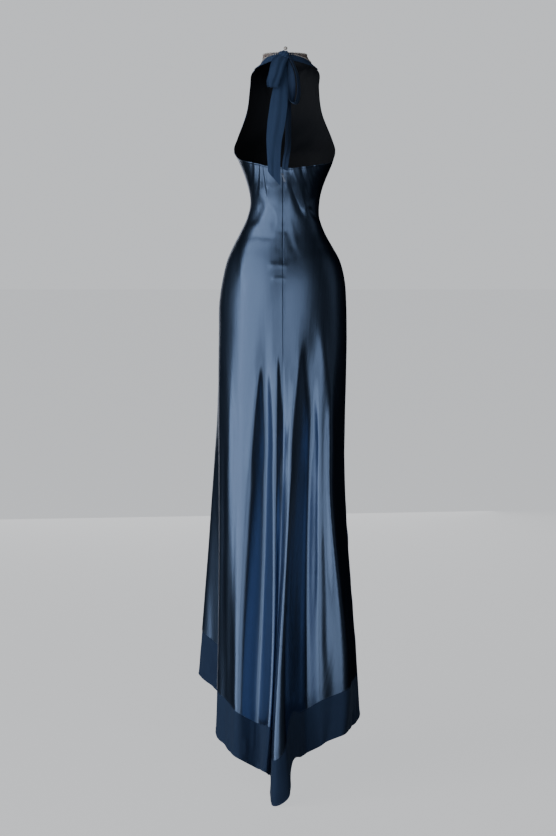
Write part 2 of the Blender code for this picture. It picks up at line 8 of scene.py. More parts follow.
import bpy
import numpy as np
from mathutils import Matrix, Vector


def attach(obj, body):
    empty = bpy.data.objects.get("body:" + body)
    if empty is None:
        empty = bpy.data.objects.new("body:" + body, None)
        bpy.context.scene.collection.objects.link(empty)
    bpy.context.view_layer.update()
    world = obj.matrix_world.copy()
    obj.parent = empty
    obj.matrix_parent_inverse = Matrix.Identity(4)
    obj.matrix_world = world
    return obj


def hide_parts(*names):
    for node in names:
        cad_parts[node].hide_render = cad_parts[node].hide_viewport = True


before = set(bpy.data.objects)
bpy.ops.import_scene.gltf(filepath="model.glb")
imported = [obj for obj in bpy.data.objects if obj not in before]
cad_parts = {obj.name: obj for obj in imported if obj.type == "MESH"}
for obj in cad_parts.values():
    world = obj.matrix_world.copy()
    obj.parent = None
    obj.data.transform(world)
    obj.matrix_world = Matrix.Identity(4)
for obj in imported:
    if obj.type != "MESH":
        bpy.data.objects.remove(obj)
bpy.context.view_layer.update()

# The camera stands straight behind the gown, a little above its middle, and the floor lies just
# under the tip of the train. Tall soft lights make the satin shine along its whole length: two at
# the left of the picture, one behind the camera, one before the front, and a weak one at the right.
AIM = Vector((0.0125, 0.0, -0.895))
EYE = Vector((0.0125, 4.800, -0.475))
camera_data = bpy.data.cameras.new("camera")
camera_data.lens, camera_data.sensor_width = 83.0, 36.0
camera_data.clip_end = 100.0
camera = bpy.data.objects.new("camera", camera_data)
camera.location = EYE
camera.rotation_euler = (AIM - EYE).to_track_quat("-Z", "Y").to_euler()
bpy.context.scene.collection.objects.link(camera)
bpy.context.scene.camera = camera

FLOOR_Z, FLOOR_REACH = -1.8125, 60.0
PALE = (0.80, 0.82, 0.85, 1)
corners = [(x * FLOOR_REACH, y * FLOOR_REACH, FLOOR_Z) for x, y in ((-1, -1), (1, -1), (1, 1), (-1, 1))]
floor_mesh = bpy.data.meshes.new("floor")
floor_mesh.from_pydata(corners, [], [(0, 1, 2, 3)])
floor = bpy.data.objects.new("floor", floor_mesh)
floor.visible_glossy = floor.visible_diffuse = floor.visible_shadow = False
bpy.context.scene.collection.objects.link(floor)
floor_paint = bpy.data.materials.new("floor paint")
floor_paint.use_nodes = True
floor_shader = floor_paint.node_tree.nodes["Principled BSDF"]
floor_shader.inputs["Base Color"].default_value = (0.45, 0.45, 0.45, 1)
floor_shader.inputs["Roughness"].default_value = 0.9
floor_shader.inputs["Specular IOR Level"].default_value = 0.0
floor_shader.inputs["Emission Color"].default_value = PALE
floor_shader.inputs["Emission Strength"].default_value = 0.85
floor_mesh.materials.append(floor_paint)

for name, place, aim, size, power in (
        ("key light", (2.5, 4.0, 0.35), (0.0, 0.0, 0.35), (3.0, 7.0), 66.0),
        ("side light", (4.3, 2.2, 0.85), (0.0, 0.0, 0.85), (1.6, 8.0), 66.0),
        ("back light", (-0.9, 5.2, -0.50), (0.0, 0.0, -0.90), (2.8, 5.2), 38.0),
        ("fill light", (-4.6, 0.2, 0.3), (0.0, 0.0, -0.9), (2.0, 3.5), 2.5),
        ("front light", (0.6, -4.8, -0.30), (0.0, 0.0, -0.3), (3.4, 5.6), 60.0)):
    lamp = bpy.data.lights.new(name, "AREA")
    lamp.shape, lamp.size, lamp.size_y, lamp.energy = "RECTANGLE", *size, power
    light = bpy.data.objects.new(name, lamp)
    light.location = place
    light.rotation_euler = (Vector(aim) - Vector(place)).to_track_quat("-Z", "Y").to_euler()
    light.visible_camera = False
    bpy.context.scene.collection.objects.link(light)
room = bpy.data.worlds.new("room")
room.use_nodes = True
room.node_tree.nodes["Background"].inputs["Color"].default_value = PALE
room.node_tree.nodes["Background"].inputs["Strength"].default_value = 0.9
room.cycles_visibility.diffuse = room.cycles_visibility.glossy = False
bpy.context.scene.world = room

# The back: two long panels of bias-cut satin, joined down the centre back with the zip in the
# seam, and cut to hang in deep folds into a short train. The figure's sections and the places of
# the folds shape every piece that goes round the wearer.

# height, half width to the wearer's left and right, depth to the back and front, squareness
SECTIONS = [
    (0.020, 0.046, 0.055, 0.056, 0.044, 2.0),
    (0.002, 0.048, 0.057, 0.061, 0.047, 2.0),
    (-0.006, 0.049, 0.060, 0.0635, 0.049, 2.0),
    (-0.019, 0.053, 0.069, 0.069, 0.053, 2.0),
    (-0.034, 0.071, 0.086, 0.080, 0.061, 2.0),
    (-0.075, 0.091, 0.102, 0.092, 0.074, 2.1),
    (-0.140, 0.108, 0.118, 0.098, 0.097, 2.2),
    (-0.200, 0.118, 0.127, 0.101, 0.123, 2.3),
    (-0.2335, 0.1213, 0.129, 0.101, 0.134, 2.3),
    (-0.262, 0.1085, 0.1225, 0.100, 0.134, 2.3),
    (-0.285, 0.0990, 0.113, 0.0975, 0.128, 2.3),
    (-0.307, 0.0912, 0.1035, 0.093, 0.117, 2.3),
    (-0.330, 0.0846, 0.0955, 0.0865, 0.105, 2.25),
    (-0.362, 0.0810, 0.0898, 0.0785, 0.094, 2.2),
    (-0.395, 0.0885, 0.0898, 0.0760, 0.091, 2.2),
    (-0.430, 0.1040, 0.1015, 0.0805, 0.094, 2.2),
    (-0.466, 0.1225, 0.1207, 0.0905, 0.102, 2.2),
    (-0.501, 0.1380, 0.1399, 0.1025, 0.111, 2.2),
    (-0.550, 0.1503, 0.1530, 0.1165, 0.119, 2.2),
    (-0.600, 0.1580, 0.1570, 0.1250, 0.124, 2.2),
    (-0.680, 0.1605, 0.1580, 0.1285, 0.127, 2.2),
    (-0.800, 0.1650, 0.1525, 0.1290, 0.130, 2.1),
    (-0.950, 0.1685, 0.1405, 0.1300, 0.133, 2.0),
    (-1.850, 0.1685, 0.1405, 0.1300, 0.140, 2.0),
]
# each line of the skirt: angle at the hip, its place (x, y) at FOLD_UP, at FOLD_MID and at the hem,
# and the height of the hem
FOLDS = [
    (-90.0, -0.154, 0.000, -0.166, 0.000, -0.195, 0.000, -1.652),
    (-74.0, -0.143, 0.050, -0.153, 0.060, -0.172, 0.066, -1.664),
    (-60.0, -0.117, 0.106, -0.133, 0.138, -0.147, 0.152, -1.664),
    (-50.0, -0.101, 0.1115, -0.108, 0.1405, -0.109, 0.154, -1.679),
    (-42.0, -0.086, 0.1145, -0.084, 0.142, -0.092, 0.160, -1.689),
    (-33.0, -0.067, 0.105, -0.0585, 0.127, -0.0585, 0.139, -1.712),
    (-27.0, -0.055, 0.1115, -0.0455, 0.139, -0.047, 0.164, -1.714),
    (-15.0, -0.029, 0.1315, -0.0195, 0.169, -0.0205, 0.235, -1.722),
    (-9.5, -0.0185, 0.135, -0.0075, 0.184, -0.0155, 0.262, -1.785),
    (-4.5, -0.009, 0.131, 0.001, 0.177, 0.0275, 0.263, -1.8067),
    (0.0, 0.000, 0.1270, 0.0060, 0.156, 0.0310, 0.186, -1.758),
    (3.0, 0.0065, 0.1280, 0.0108, 0.156, 0.0355, 0.186, -1.754),
    (7.5, 0.0165, 0.132, 0.0173, 0.168, 0.0405, 0.206, -1.744),
    (11.0, 0.0245, 0.1315, 0.0240, 0.168, 0.0475, 0.205, -1.740),
    (19.0, 0.041, 0.115, 0.0450, 0.136, 0.064, 0.170, -1.742),
    (31.0, 0.076, 0.126, 0.0885, 0.162, 0.101, 0.200, -1.714),
    (52.0, 0.129, 0.099, 0.1325, 0.134, 0.137, 0.171, -1.693),
    (58.0, 0.1365, 0.088, 0.1395, 0.121, 0.1435, 0.158, -1.686),
    (77.0, 0.159, 0.050, 0.159, 0.082, 0.1675, 0.112, -1.661),
    (90.0, 0.159, 0.005, 0.150, 0.015, 0.150, 0.028, -1.608),
    (108.0, 0.168, -0.049, 0.190, -0.050, 0.216, -0.060, -1.556),
    (126.0, 0.130, -0.093, 0.142, -0.100, 0.160, -0.115, -1.556),
    (144.0, 0.100, -0.135, 0.130, -0.170, 0.160, -0.205, -1.550),
    (162.0, 0.048, -0.132, 0.062, -0.145, 0.082, -0.170, -1.550),
    (180.0, 0.000, -0.151, 0.000, -0.190, 0.000, -0.240, -1.550),
    (198.0, -0.048, -0.132, -0.062, -0.145, -0.082, -0.170, -1.552),
    (216.0, -0.097, -0.132, -0.125, -0.165, -0.155, -0.200, -1.560),
    (240.0, -0.132, -0.088, -0.142, -0.098, -0.168, -0.112, -1.590),
]
FOLD_TOP, FOLD_UP, FOLD_MID = -0.60, -0.95, -1.24
UNDERARM = -0.2335
# angle and height of the back's top edge, from the wearer's right side to the left
TOP_EDGE = [
    (-90.0, UNDERARM), (-78.0, -0.2560), (-50.0, -0.2690), (-28.0, -0.2755), (-8.0, -0.2785),
    (0.0, -0.2770), (23.0, -0.2735), (36.0, -0.2680), (56.0, -0.2605), (75.0, -0.2515),
    (84.0, -0.2440), (90.0, UNDERARM),
]
BAND = 0.115            # depth of the hem band
CLOTH = 0.0006          # thickness of the satin
ZIP_FOOT = -0.61        # below it the centre back seam is plain
# where the bow's tails lie on the satin: middle, half width and lower end of each
BOW_ENDS = [(0.0228, 0.0185, -0.324), (-0.0030, 0.0110, -0.292)]


def between_knots(t, step, p0, p1, m0, m1):
    """Smooth value between p0 and p1 at a share t of the step, m0 and m1 being the slopes there."""
    return ((2 * t**3 - 3 * t**2 + 1) * p0 + (t**3 - 2 * t**2 + t) * step * m0
            + (3 * t**2 - 2 * t**3) * p1 + (t**3 - t**2) * step * m1)


def curve(knots, values, at):
    """Smooth curve through values at rising knots; values may have more columns."""
    k, v, at = np.asarray(knots, float), np.asarray(values, float), np.asarray(at, float)
    h = np.diff(k)
    slope = np.diff(v, axis=0) / (h if v.ndim == 1 else h[:, None])
    m = np.empty_like(v)
    m[0], m[-1] = slope[0], slope[-1]
    w = h[:-1] / (h[:-1] + h[1:])
    w = w if v.ndim == 1 else w[:, None]
    m[1:-1] = slope[:-1] * (1 - w) + slope[1:] * w
    i = np.clip(np.searchsorted(k, at) - 1, 0, len(k) - 2)
    t, hh = (at - k[i]) / h[i], h[i]
    if v.ndim > 1:
        t, hh = t[..., None], hh[..., None]
    return between_knots(t, hh, v[i], v[i + 1], m[i], m[i + 1])


SEC = np.array(SECTIONS)[::-1]
FOLD_ANGLE, FOLD_DATA = np.array(FOLDS)[:, 0], np.array(FOLDS)[:, 1:]


def wrapped(a):
    """Angles brought into the range the fold table covers."""
    return (np.asarray(a, float) + 90.0) % 360.0 - 90.0


def figure(angle, z):
    """The figure under the folds."""
    s = curve(SEC[:, 0], SEC[:, 1:], z)
    a = np.radians(angle)
    sx, cy = np.sin(a), np.cos(a)
    half = np.where(sx > 0, s[..., 0], s[..., 1])
    deep = np.where(cy > 0, s[..., 2], s[..., 3])
    p = s[..., 4]
    r = (np.abs(sx / half)**p + np.abs(cy / deep)**p)**(-1 / p)
    return r * sx, r * cy


def round_folds(values, angle):
    """Values given at the lines of FOLDS, read off at other angles round the skirt."""
    def take(table, row):
        return np.take_along_axis(table, row[..., None, None], axis=-2)[..., 0, :]

    n = len(FOLD_ANGLE)
    k = np.concatenate([FOLD_ANGLE[-2:] - 360, FOLD_ANGLE, FOLD_ANGLE[:3] + 360])
    v = values[..., np.arange(-2, n + 3) % n, :]
    h = np.diff(k)
    slope = (v[..., 1:, :] - v[..., :-1, :]) / h[:, None]
    w = (h[:-1] / (h[:-1] + h[1:]))[:, None]
    m = slope[..., :-1, :] * (1 - w) + slope[..., 1:, :] * w
    i = np.clip(np.searchsorted(k, angle, side="right") - 1, 1, len(k) - 3)
    hh, t = h[i][..., None], ((angle - k[i]) / h[i])[..., None]
    return between_knots(t, hh, take(v, i), take(v, i + 1), take(m, i - 1), take(m, i))


HEM_Z = FOLD_DATA[:, 6]
DROP = FOLD_TOP - HEM_Z
# how far each line is moved off the figure at its three heights, and how far down those are
MOVES = [FOLD_DATA[:, i:i + 2] - np.stack(figure(FOLD_ANGLE, z + 0 * HEM_Z), -1)
         for i, z in ((0, FOLD_UP), (2, FOLD_MID), (4, HEM_Z))]
FALL_UP, FALL_MID = (((FOLD_TOP - z) / DROP)[:, None] for z in (FOLD_UP, FOLD_MID))


def hem_height(angle):
    angle = wrapped(angle)
    table = np.broadcast_to(HEM_Z[:, None], angle.shape + (len(FOLDS), 1))
    return round_folds(table, angle)[..., 0]


def body(angle, z):
    """Outer face of the gown at an angle and a height, before its small creases."""
    angle, z = np.broadcast_arrays(np.asarray(angle, float), np.asarray(z, float))
    angle = wrapped(angle)
    x, y = figure(angle, z)
    t = np.maximum(0, (FOLD_TOP - z)[..., None] / DROP)[..., None]
    up, mid, hem = MOVES[0] / FALL_UP**2, MOVES[1] / FALL_MID**2, MOVES[2]
    first, last = (mid - up) / (FALL_MID - FALL_UP), (hem - mid) / (1 - FALL_MID)
    bend = (last - first) / (1 - FALL_UP)
    moved = round_folds(t * t * (up + (t - FALL_UP) * (first + bend * (t - FALL_MID))), angle)
    return np.stack([x + moved[..., 0], y + moved[..., 1], z], -1)


def outward(angle, z):
    """Unit normal of the gown's face."""
    u = body(angle + 0.04, z) - body(angle - 0.04, z)
    v = body(angle, z + 0.0002) - body(angle, z - 0.0002)
    n = np.cross(v, u)
    return n / np.linalg.norm(n, axis=-1, keepdims=True)


def top_edge(angle):
    return curve(*np.array(TOP_EDGE).T, angle)


def lengths(grid, axis):
    """Distance along the cloth from its first edge, for every point of a grid or of one line."""
    step = np.linalg.norm(np.diff(grid, axis=axis), axis=-1)
    first = np.zeros_like(np.take(step, [0], axis=axis))
    return np.concatenate([first, np.cumsum(step, axis=axis)], axis=axis)


def cloud(u, v, wide, long, seed):
    """A smooth uneven field from -1 to 1, in patches of about wide by long metres."""
    a, b = u / wide, v / long
    i, j = np.floor(a).astype(int), np.floor(b).astype(int)
    s, t = a - i, b - j
    s, t = s * s * (3 - 2 * s), t * t * (3 - 2 * t)
    i, j = i - i.min(), j - j.min()
    g = np.random.default_rng(seed).uniform(-1, 1, (i.max() + 2, j.max() + 2))
    return (g[i, j] * (1 - s) * (1 - t) + g[i + 1, j] * s * (1 - t)
            + g[i, j + 1] * (1 - s) * t + g[i + 1, j + 1] * s * t)


def crease(x, z, line, height, width, drag=False):
    """Height of one soft ridge, or hollow, along a line drawn on the gown as seen from behind. A
    drag line has a hollow on its left and a ridge on its right, with the slope along the line.
    Height and half width are in millimetres, and the crease fades out towards its ends."""
    steps, ends, steepness = 24, 0.3, 1.65
    height, width, line = height / 1000, width / 1000, np.array(line)
    knots = lengths(line, 0)
    path = curve(knots, line, np.linspace(0, knots[-1], steps + 1))
    best, along, right = np.full(x.shape, np.inf), np.zeros(x.shape), np.zeros(x.shape)
    for i, (p, q) in enumerate(zip(path, path[1:])):
        d = q - p
        t = np.clip(((x - p[0]) * d[0] + (z - p[1]) * d[1]) / (d @ d), 0, 1)
        far = np.hypot(x - p[0] - t * d[0], z - p[1] - t * d[1])
        near = far < best
        best, along = np.where(near, far, best), np.where(near, (i + t) / steps, along)
        right = np.where(near, d[1] * (x - p[0]) - d[0] * (z - p[1]), right)
    fade = np.clip(np.minimum(along, 1 - along) / ends, 0, 1)
    across = np.sign(right) * best / width * steepness if drag else 1.0
    return height * across * np.exp(-(best / width)**2) * fade * fade * (3 - 2 * fade)


# Drag lines of the bodice as seen from behind: line (x, z), height in mm and half width in mm.
BACK_DRAGS = [
    ([(0.053, -0.235), (0.048, -0.285), (0.042, -0.325), (0.037, -0.365)], 1.5, 4.5),
    ([(0.075, -0.225), (0.0725, -0.280), (0.0765, -0.346)], 1.4, 5.5),
    ([(0.0605, -0.225), (0.0575, -0.290), (0.0640, -0.360)], 1.4, 5.0),
    ([(-0.0090, -0.245), (-0.0154, -0.283), (-0.0312, -0.327), (-0.0482, -0.3725),
      (-0.0655, -0.412)], 2.6, 9.0),
    ([(-0.0460, -0.245), (-0.0506, -0.281), (-0.0603, -0.3145), (-0.0700, -0.355)], 3.0, 6.8),
    ([(-0.0700, -0.245), (-0.0772, -0.276), (-0.0840, -0.300)], 1.6, 5.0),
    ([(-0.0060, -0.385), (-0.0191, -0.440), (-0.0370, -0.495)], 1.0, 9.0),
]
# Ridges and hollows of the waist, the hip and the zip, in the same terms.
BACK_CREASES = [
    ([(0.041, -0.340), (0.0332, -0.365), (0.0222, -0.376), (0.0142, -0.394), (0.0149, -0.418),
      (0.0240, -0.436)], 0.65, 4.5),
    ([(0.0900, -0.4230), (0.0514, -0.4150), (0.0180, -0.4190)], 0.9, 11.0),
    ([(0.0160, -0.4400), (0.0400, -0.4450), (0.0660, -0.4420), (0.0900, -0.4500)], -0.9, 8.0),
    ([(0.1060, -0.5650), (0.1020, -0.5200), (0.0960, -0.4750), (0.0800, -0.4350)], 1.5, 12.0),
    ([(0.0480, -0.350), (0.0611, -0.3846), (0.0850, -0.4210)], -2.4, 11.0),
    ([(-0.0120, -0.290), (-0.0235, -0.327), (-0.0405, -0.3725), (-0.0560, -0.405)], -2.4, 11.0),
    ([(-0.0575, -0.3700), (-0.0900, -0.4060)], -2.0, 6.5),
    ([(0.0480, -0.4900), (0.0174, -0.4980), (-0.0021, -0.4960), (-0.0550, -0.4900)], -0.5, 11.0),
    ([(0.0400, -0.5180), (0.0125, -0.5130), (-0.0150, -0.5180)], 1.2, 7.0),
    ([(0.0330, -0.5480), (0.0080, -0.5450), (-0.0120, -0.5480)], 0.8, 5.5),
]
# The tops of the skirt's folds, where crest and hollow start together at one point of the hip. The
# last three are the ridge along the left edge of the train and two hollows at its right.
FOLD_TIPS = [
    ([(0.051, -0.720), (0.065, -0.820), (0.078, -0.945), (0.085, -1.060)], 3.2, 9.0),
    ([(0.051, -0.720), (0.045, -0.820), (0.040, -0.945), (0.042, -1.050)], -3.8, 10.0),
    ([(0.0125, -0.695), (0.0165, -0.810), (0.018, -0.945), (0.018, -1.030)], 2.0, 6.0),
    ([(0.0125, -0.695), (0.004, -0.810), (-0.001, -0.945), (0.003, -1.030)], -2.4, 6.0),
    ([(-0.050, -0.680), (-0.033, -0.800), (-0.018, -0.945), (-0.013, -1.030)], 3.0, 9.0),
    ([(-0.050, -0.680), (-0.060, -0.800), (-0.067, -0.945), (-0.063, -1.050)], -4.6, 15.0),
    ([(-0.087, -0.624), (-0.107, -0.793), (-0.117, -0.947), (-0.126, -1.085)], 3.6, 13.0),
    ([(0.1350, -0.640), (0.1345, -0.950), (0.1340, -1.300), (0.1400, -1.560)], 4.5, 12.0),
    ([(-0.0700, -0.800), (-0.0790, -0.960), (-0.0785, -1.130), (-0.0760, -1.400)], -3.0, 7.0),
    ([(-0.1000, -1.100), (-0.1050, -1.330), (-0.1070, -1.470), (-0.1100, -1.545)], -2.0, 9.0),
]


def inside(past, soft):
    """1 well within an edge and 0 past it, with a soft change between."""
    return 1 / (1 + np.exp(np.clip(past / soft, -50, 50)))


def hanging(z):
    """0 where the satin is held close to the figure, rising to 1 where the skirt hangs free."""
    held_to, free_after = -0.62, 0.5
    return np.clip((held_to - z) / free_after, 0, 1)


def side_seam(degrees):
    """How far the side seam pulls the cloth in along its fine line, at an angle from it."""
    return 0.0006 * np.exp(-(degrees / 0.7)**2)


def back_relief(face, angle, v, seam):
    """How far the back stands out from its smooth form: creases, seam and the hang of satin."""
    x, z = face[..., 0], face[..., 2]
    out = np.zeros(x.shape)
    for line, height, width in BACK_CREASES + FOLD_TIPS:
        out += crease(x, z, line, height, width)
    for line, height, width in BACK_DRAGS:
        out += crease(x, z, line, height, width, drag=True)
    # The satin stays flat under the ends of the bow.
    under = np.max([inside(np.abs(x - middle) - half, 0.002) * inside(low - z, 0.002)
                    for middle, half, low in BOW_ENDS], axis=0)
    out *= 1 - under
    # The top edge is turned over a cord of cloth and stands a little proud.
    out += 0.0007 * np.exp(-((v - 0.0016) / 0.0011)**2)
    # The satin's small unevenness dies out at its side edges and where the hem band is sewn on.
    metres_per_degree = 0.0026
    grain, skirt = angle * metres_per_degree, hanging(z)
    still = np.minimum(1, seam / 0.012) * np.minimum(1, (90 - np.abs(angle)) / 5)
    still = still * np.clip((z - z[-1:]) / 0.03, 0, 1)
    out += still * skirt * (0.0006 * cloud(grain, v, 0.018, 0.45, 3)
                            + 0.00012 * cloud(grain, v, 0.006, 0.15, 4))
    out += still * (1 - skirt) * (1 - under) * 0.0005 * cloud(grain, v, 0.050, 0.09, 8)
    # At the centre back seam the left panel dips under the edge of the right one. The cloth puckers
    # a little beside the zip.
    out -= np.where(angle > 0, 0.0009, 0.0002) * np.exp(-(seam / 0.0020)**2)
    out -= side_seam(90 - np.abs(angle))
    pucker = np.exp(-((seam - 0.007) / 0.006)**2) * cloud(seam * 0, v, 1.0, 0.013, 6)
    out += 0.0003 * inside(ZIP_FOOT - z, 0.01) * pucker
    return out


def shell(name, face, turn, thick, right_side, inner_side):
    """A thin closed shell of cloth from a grid of points, turn being its outward direction."""
    rows, cols = face.shape[:2]
    n = rows * cols
    points = np.concatenate([face.reshape(-1, 3), (face - turn * thick).reshape(-1, 3)])
    at = np.arange(n).reshape(rows, cols)
    a, b, c, d = at[:-1, :-1], at[:-1, 1:], at[1:, 1:], at[1:, :-1]
    outer = np.stack([a, d, c, b], -1).reshape(-1, 4)
    inner = np.stack([a, b, c, d], -1).reshape(-1, 4) + n
    rim = np.concatenate([at[0], at[1:, -1], at[-1, -2::-1], at[-2:0:-1, 0]])
    nxt = np.roll(rim, -1)
    edge = np.stack([rim, nxt, nxt + n, rim + n], -1)
    # The grid may run either way round, so the outer face is turned to look outwards.
    middle = outer[len(outer) // 2]
    p = points[middle]
    if np.dot(np.cross(p[1] - p[0], p[2] - p[0]), turn.reshape(-1, 3)[middle[0]]) < 0:
        outer, inner, edge = outer[:, ::-1], inner[:, ::-1], edge[:, ::-1]
    faces = np.concatenate([outer, inner, edge])
    me = bpy.data.meshes.new(name)
    me.vertices.add(len(points))
    me.vertices.foreach_set("co", points.ravel())
    me.loops.add(faces.size)
    me.loops.foreach_set("vertex_index", faces.ravel().astype(np.int32))
    me.polygons.add(len(faces))
    me.polygons.foreach_set("loop_start", np.arange(0, faces.size, 4, dtype=np.int32))
    sides = np.repeat([0, 1, 0], [len(outer), len(inner), len(edge)])
    me.polygons.foreach_set("material_index", sides.astype(np.int32))
    me.update(calc_edges=True)
    uv = np.stack([lengths(face, 1), lengths(face, 0)], -1).reshape(-1, 2)
    cloth_uv = np.concatenate([uv, uv])[faces.ravel()]
    me.uv_layers.new(name="cloth").data.foreach_set("uv", cloth_uv.ravel())
    me.materials.append(right_side)
    me.materials.append(inner_side)
    me.shade_smooth()
    me.set_sharp_from_angle(angle=math.radians(60))
    ob = bpy.data.objects.new(name, me)
    bpy.context.scene.collection.objects.link(ob)
    return ob


class Tone:
    """One socket of a material. Sums written with it add the nodes that work them out."""

    def __init__(self, tree, socket=None):
        self.tree, self.socket = tree, socket

    def node(self, kind, settings=(), values=(), out=0):
        """A node of a kind: its settings first, then the values or links of its sockets."""
        made = self.tree.nodes.new(kind)
        for key, value in dict(settings).items():
            setattr(made, key, value)
        for key, value in dict(values).items():
            if isinstance(value, Tone):
                self.tree.links.new(value.socket, made.inputs[key])
            else:
                made.inputs[key].default_value = value
        return Tone(self.tree, made.outputs[out])

    def sum(self, operation, *values):
        return self.node("ShaderNodeMath", {"operation": operation}, enumerate(values))

    def __add__(self, other):
        return self.sum("ADD", self, other)

    def __mul__(self, other):
        return self.sum("MULTIPLY", self, other)

    __radd__, __rmul__ = __add__, __mul__

    def between(self, first, second):
        """The colour between two, this value being the share of the second."""
        return self.node("ShaderNodeMix", {"data_type": "RGBA"}, {0: self, 6: first, 7: second}, out=2)


def finish(name, roughness, metallic, **constants):
    """A material and its shader, with the numbers that are the same all over the piece."""
    made = bpy.data.materials.new(name)
    made.use_nodes = True
    shader = made.node_tree.nodes["Principled BSDF"]
    shader.inputs["Roughness"].default_value = roughness
    shader.inputs["Metallic"].default_value = metallic
    for key, value in constants.items():
        shader.inputs[key.replace("_", " ")].default_value = value
    return made, shader, Tone(made.node_tree)


def connect(shader, **values):
    """The values that differ over the piece, linked to the shader."""
    for key, value in values.items():
        value.tree.links.new(value.socket, shader.inputs[key.replace("_", " ")])


def satin(name, deep, light, metallic, rough):
    """Bias satin: a smooth lustrous face with faint lengthwise streaks and a fine twill line."""
    made, shader, start = finish(name, rough, metallic, Anisotropic=0.35, Specular_IOR_Level=0.6)
    cloth_uv = start.node("ShaderNodeUVMap", {"uv_map": "cloth"})
    long = start.node("ShaderNodeMapping", (), {"Vector": cloth_uv, "Scale": (170.0, 7.0, 1.0)})
    streak = start.node("ShaderNodeTexNoise", (), {"Vector": long, "Scale": 1.0, "Detail": 3.0})
    wide = start.node("ShaderNodeTexNoise", (), {"Vector": cloth_uv, "Scale": 9.0, "Detail": 2.0})
    bias = start.node("ShaderNodeMapping", (), {"Vector": cloth_uv, "Rotation": (0, 0, math.pi / 4),
                                                "Scale": (2600.0, 90.0, 1.0)})
    thread = start.node("ShaderNodeTexNoise", (), {"Vector": bias, "Scale": 1.0, "Detail": 1.0})
    crush = start.node("ShaderNodeTexNoise", (), {"Vector": cloth_uv, "Scale": 55.0, "Detail": 2.0})
    tone = wide * 0.55 + streak * 0.25 + thread * 0.20
    height = streak * 0.00020 + crush * 0.00012 + thread * 0.00003
    bump = start.node("ShaderNodeBump", (), {"Strength": 1.0, "Distance": 1.0, "Height": height})
    connect(shader, Base_Color=tone.between(deep, light),
            Roughness=streak * 0.12 + wide * 0.05 + (rough - 0.085), Normal=bump)
    return made


right_side = satin("satin", (0.145, 0.215, 0.375, 1), (0.180, 0.262, 0.440, 1), 0.93, 0.34)
# The inside of the gown is a near-black copy of the satin: painted shade, standing for the dark inside of
# the gown and of the neck opening.
inner_side = satin("satin inside, painted shade", (0.003, 0.006, 0.013, 1), (0.005, 0.009, 0.018, 1), 0.0, 0.75)


def above_seam(face):
    """The line of stitches just above the seam of the hem band."""
    return 0.6 * face[-1] + 0.4 * face[-2]


# The rows, as shares of the way down, lie close together at the turned edge and in the bodice, and
# wider down the skirt. The columns, in degrees, lie close together beside the centre back seam. The
# lines that are stitched are kept for the thread.
EDGE_ROWS = [0, 0.0005, 0.001, 0.0016, 0.0023, 0.0032]
SEAM_COLUMNS = [0.0, 0.35, 0.8, 1.3, 1.9, 2.6, 3.3]
rows = np.concatenate([EDGE_ROWS, np.linspace(0.005, 0.25, 125), np.linspace(0.255, 1, 165)])[:, None]
columns = np.concatenate([SEAM_COLUMNS, np.linspace(4.0, 90.0, 145)])[None]
edge_row = len(EDGE_ROWS) - 1
stitched = []
for side, name, cut, area in ((1, "back_left", (0.39, 1.40), 0.335),
                              (-1, "back_right", (0.59, 1.46), 0.375)):
    a = np.broadcast_to(side * columns, (rows.size, columns.size))
    z = top_edge(a) * (1 - rows) + (hem_height(a) + BAND) * rows
    face, turn = body(a, z), outward(a, z)
    face = face + turn * back_relief(face, a + side * 1e-6, lengths(face, 0), lengths(face, 1))[..., None]
    # Its inner face is the near-black painted shade of the gown's inside.
    piece = shell("satin_" + name, face, turn, CLOTH, right_side, inner_side)
    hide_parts(name)
    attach(piece, "gown")
    stitched += [(face[edge_row], turn[edge_row]), (above_seam(face), turn[-1])]

# The front: a bodice of the same satin rising over the bust into the halter, its neck edge gathered
# a little under the collar, and two long skirt panels joined to it at the waist and to each other
# down the centre front.

# angle from the nape, height of the neck edge there, and height of the strap's lower edge
NECK_EDGE = [
    (0.0, -0.0030, -0.0170), (30.0, -0.0055, -0.0200), (55.0, -0.0110, -0.0255),
    (94.0, -0.0200, -0.0345), (135.0, -0.0300, -0.0345), (180.0, -0.0370, -0.0370),
]
CORNER = 94.0           # where the front's upper corner meets the strap, as an angle from the nape
# height, and angle from the centre front to the edge of the armhole
ARMHOLE = [
    (-0.020, 86.0), (-0.034, 85.0), (-0.060, 72.0), (-0.100, 62.0), (-0.150, 60.0),
    (-0.190, 67.0), (-0.215, 77.0), (UNDERARM, 90.0),
]


def neck_edge(angle, column=1):
    """Height of the neck edge, or with column 2 of the strap's lower edge."""
    table = np.array(NECK_EDGE)
    return curve(table[:, 0], table[:, column], np.abs(wrapped(angle + 90) - 90))


# Down to the underarm the columns draw in to the armholes, and below it they run straight down. One
# row is the waist seam, and the middle column is the centre front seam.
WAIST_ROW, WAIST_SHARE = 22, 0.09
across = np.linspace(90, 270, 181)[None]
halter = np.linspace(0, 1, 65)[:-1, None]
armhole_z = neck_edge(np.array([CORNER]))[0] * (1 - halter) + UNDERARM * halter
a_up = 180 + (across - 180) * curve(*np.array(ARMHOLE)[::-1].T, armhole_z) / 90
a_neck = np.broadcast_to(180 + (across - 180) * (180 - CORNER) / 90, a_up.shape)
z_up = neck_edge(a_neck) * (1 - halter) + UNDERARM * halter
below = np.concatenate([np.linspace(0, WAIST_SHARE, WAIST_ROW + 1),
                        np.linspace(WAIST_SHARE, 1, 209)[1:]])[:, None]
a_low = np.broadcast_to(across, (below.size, across.size))
z_low = UNDERARM * (1 - below) + (hem_height(a_low) + BAND) * below
a, z = np.vstack([a_up, a_low]), np.vstack([z_up, z_low])
waist, centre = len(halter) + WAIST_ROW, across.size // 2
face, turn = body(a, z), outward(a, z)
u, v = lengths(face, 1), lengths(face, 0)
gather, hang = np.exp(-np.maximum(0, neck_edge(a) - z) / 0.035), hanging(z)
